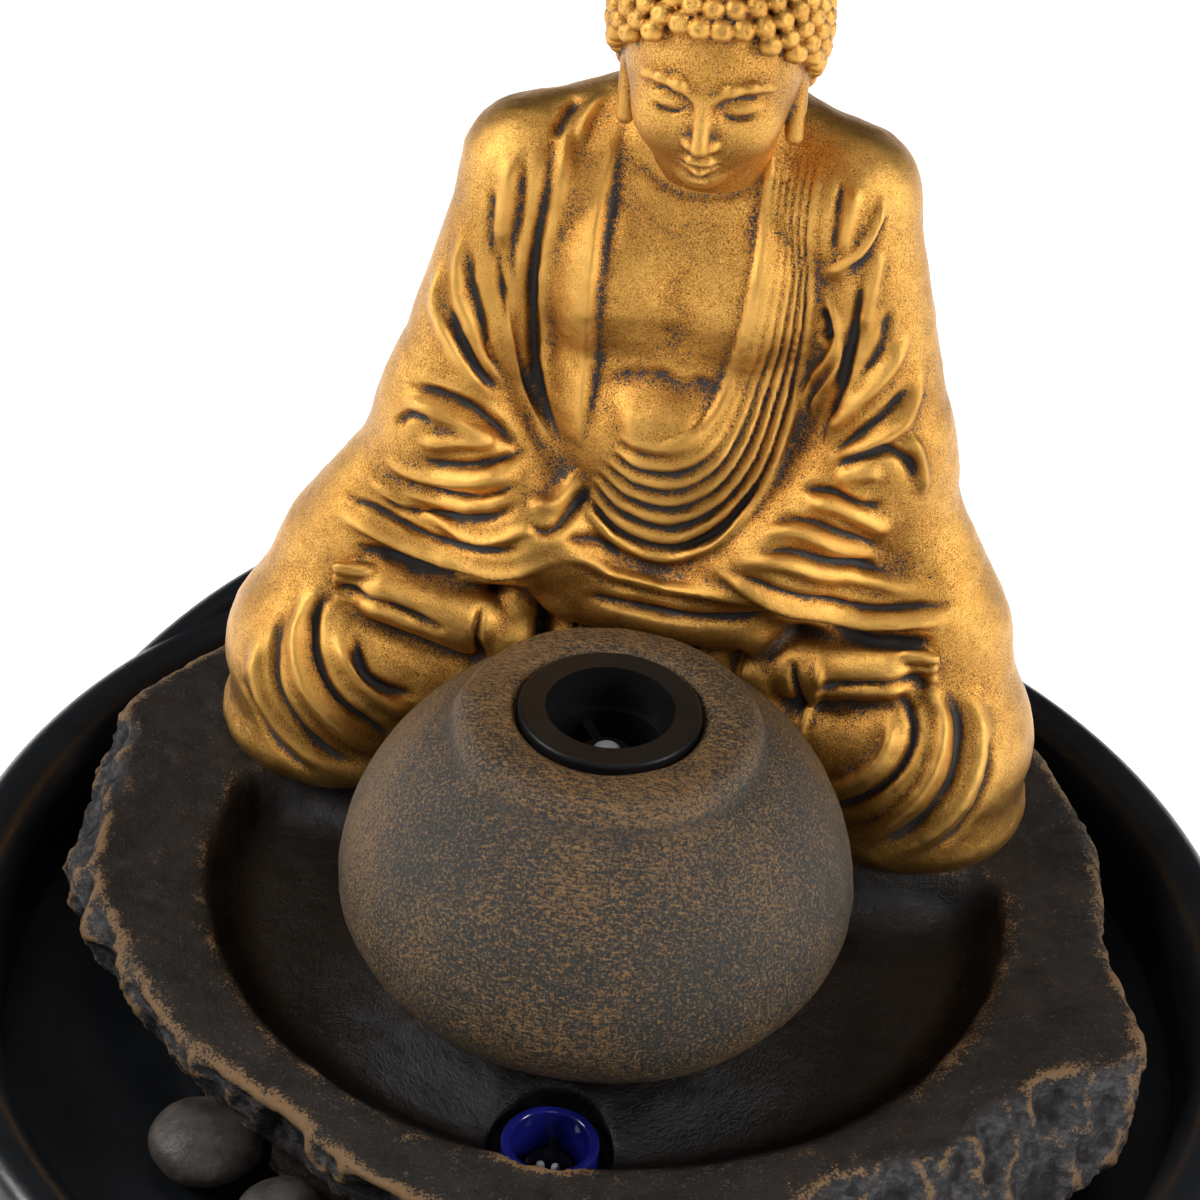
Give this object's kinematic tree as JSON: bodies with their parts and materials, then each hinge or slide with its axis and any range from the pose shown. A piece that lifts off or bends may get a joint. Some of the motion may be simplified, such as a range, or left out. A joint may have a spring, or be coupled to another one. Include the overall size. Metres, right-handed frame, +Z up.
{
  "type": "tabletop water fountain",
  "caption": "Round bowl holding a broken-edged rock tray with a seated gold figure behind a squat pot whose mouth ring seats a rolling ball; a pump lies below.",
  "frame": {"origin": "centre of the bowl on the table, at the underside of its feet", "axes": "+Z up, +Y to the back, -Y to the front with the drain sleeve, +X to the right seen from the front"},
  "size_m": [0.24, 0.2416, 0.255],
  "materials": {
    "bowl_black": "satin",
    "rubber": "matte",
    "river_stone": "matte",
    "rock_resin": "dry-brushed, satin",
    "gold_resin": "metallic gold over dark patina",
    "pot_resin": "dry-brushed, matte",
    "black_plastic": "gloss",
    "lens": "clear",
    "hose": "translucent, satin",
    "blue_plastic": "gloss",
    "wire_black": "satin",
    "coupling_plastic": "satin",
    "clip_plastic": "satin",
    "pump_plastic": "satin",
    "regulator_plastic": "satin",
    "core_steel": "laminated",
    "coil_copper": "enamelled wire",
    "shaft_ceramic": "polished",
    "magnet": "sintered, matte",
    "impeller_plastic": "satin"
  },
  "bodies": {
    "base": {"bowl": "bowl_black", "bowl_feet": "rubber", "cable_grommet": "rubber", "pebbles": "river_stone", "pump_housing": "pump_plastic", "stator_core": "core_steel", "stator_coil": "coil_copper", "pump_back_cover": "pump_plastic", "volute_cover": "pump_plastic", "chamber_seal": "rubber", "pump_shaft": "shaft_ceramic", "shaft_bushes": "rubber", "suction_cups": "rubber"},
    "tray": {"rock_tray": "rock_resin", "tray_pads": "rubber", "figure": "gold_resin", "pot": "pot_resin", "ball_seat": "black_plastic", "seat_gasket": "rubber", "seat_lamp": "black_plastic", "seat_lens": "lens", "supply_hose": "hose", "drain_sleeve": "blue_plastic", "sleeve_gasket": "rubber", "front_lamp": "black_plastic", "front_lamp_leds": "lens", "lamp_lead": "wire_black", "lamp_tail": "wire_black", "lead_coupling": "coupling_plastic", "lead_clips": "clip_plastic"},
    "rotor": {"rotor_magnet": "magnet", "impeller": "impeller_plastic"},
    "intake": {"intake_cover": "pump_plastic"},
    "regulator": {"flow_regulator": "regulator_plastic"}
  },
  "joints": [
    {"name": "tray_lift", "type": "slide", "parent": "base", "child": "tray", "axis": [0, 0, 1], "range_m": [0, 0.12]},
    {"name": "impeller_spin", "type": "hinge", "parent": "base", "child": "rotor", "pos_m": [0, 0, 0.029], "axis": [0, 1, 0], "continuous": true},
    {"name": "intake_cover_pull", "type": "slide", "parent": "base", "child": "intake", "axis": [0, -1, 0], "range_m": [0, 0.012]},
    {"name": "regulator_turn", "type": "hinge", "parent": "intake", "child": "regulator", "pos_m": [0, -0.0333, 0.029], "axis": [0, 1, 0], "range_deg": [0, 45]}
  ]
}
